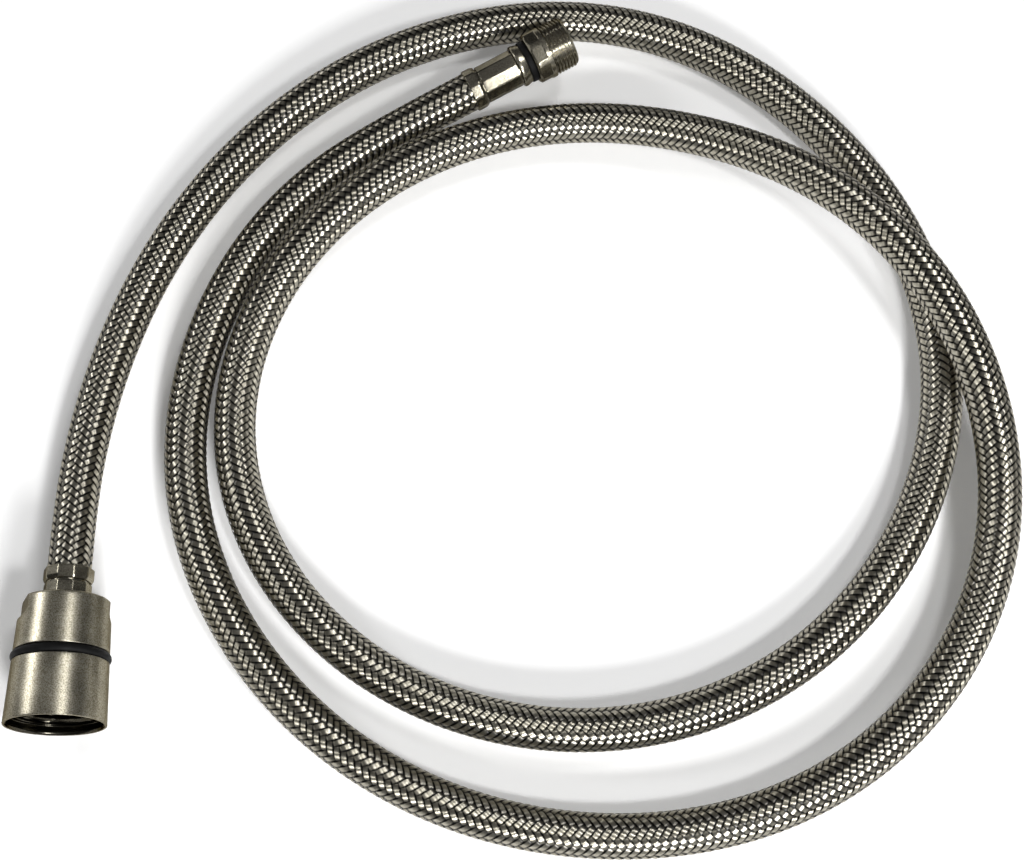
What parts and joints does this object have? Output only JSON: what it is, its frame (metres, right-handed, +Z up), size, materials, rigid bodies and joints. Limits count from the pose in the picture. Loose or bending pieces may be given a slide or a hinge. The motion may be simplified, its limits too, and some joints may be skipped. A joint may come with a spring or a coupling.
{
  "type": "braided spray hose",
  "caption": "Flexible braided metal hose with a wide female swivel coupling for a hand sprayer at one end and a slim male swivel union at the other, lying in loose loops.",
  "frame": {"origin": "on the floor, under the middle of the box round the two end fittings", "axes": "+Z up from the floor the hose lies on; +Y from the female coupling's side towards the male union's side; +X towards the side where the loops lie"},
  "size_m": [0.2639, 0.2465, 0.0283],
  "materials": {
    "steel_braid": "woven stainless wire, satin, dark between the wires",
    "hose_tube": "smooth, translucent white tube",
    "brushed_nickel": "warm satin nickel plating, brushed along the axis",
    "brass": "turned, unplated",
    "black_rubber": "smooth, slightly glossy",
    "white_plastic": "smooth acetal",
    "spring_steel": "plain wire"
  },
  "bodies": {
    "hose": {"braid_sleeve": "steel_braid", "inner_tube": "hose_tube", "coupling_ferrule": "brushed_nickel", "coupling_stem": "brass", "coupling_slip_ring": "white_plastic", "coupling_seal": "black_rubber", "union_ferrule": "brushed_nickel", "union_stem": "brushed_nickel", "union_slip_ring": "black_rubber", "union_journal_seals": "black_rubber", "union_retaining_ring": "spring_steel"},
    "coupling": {"coupling_nut": "brushed_nickel", "coupling_o_ring": "black_rubber"},
    "union": {"union_body": "brushed_nickel"}
  },
  "joints": [
    {"name": "coupling_swivel", "type": "hinge", "parent": "hose", "child": "coupling", "pos_m": [-0.0614, -0.0709, 0.01167], "axis": [0.0381, -0.9907, 0.1305], "continuous": true},
    {"name": "union_swivel", "type": "hinge", "parent": "hose", "child": "union", "pos_m": [0.06392, 0.09241, 0.01322], "axis": [0.8844, 0.4506, 0.1219], "continuous": true}
  ]
}
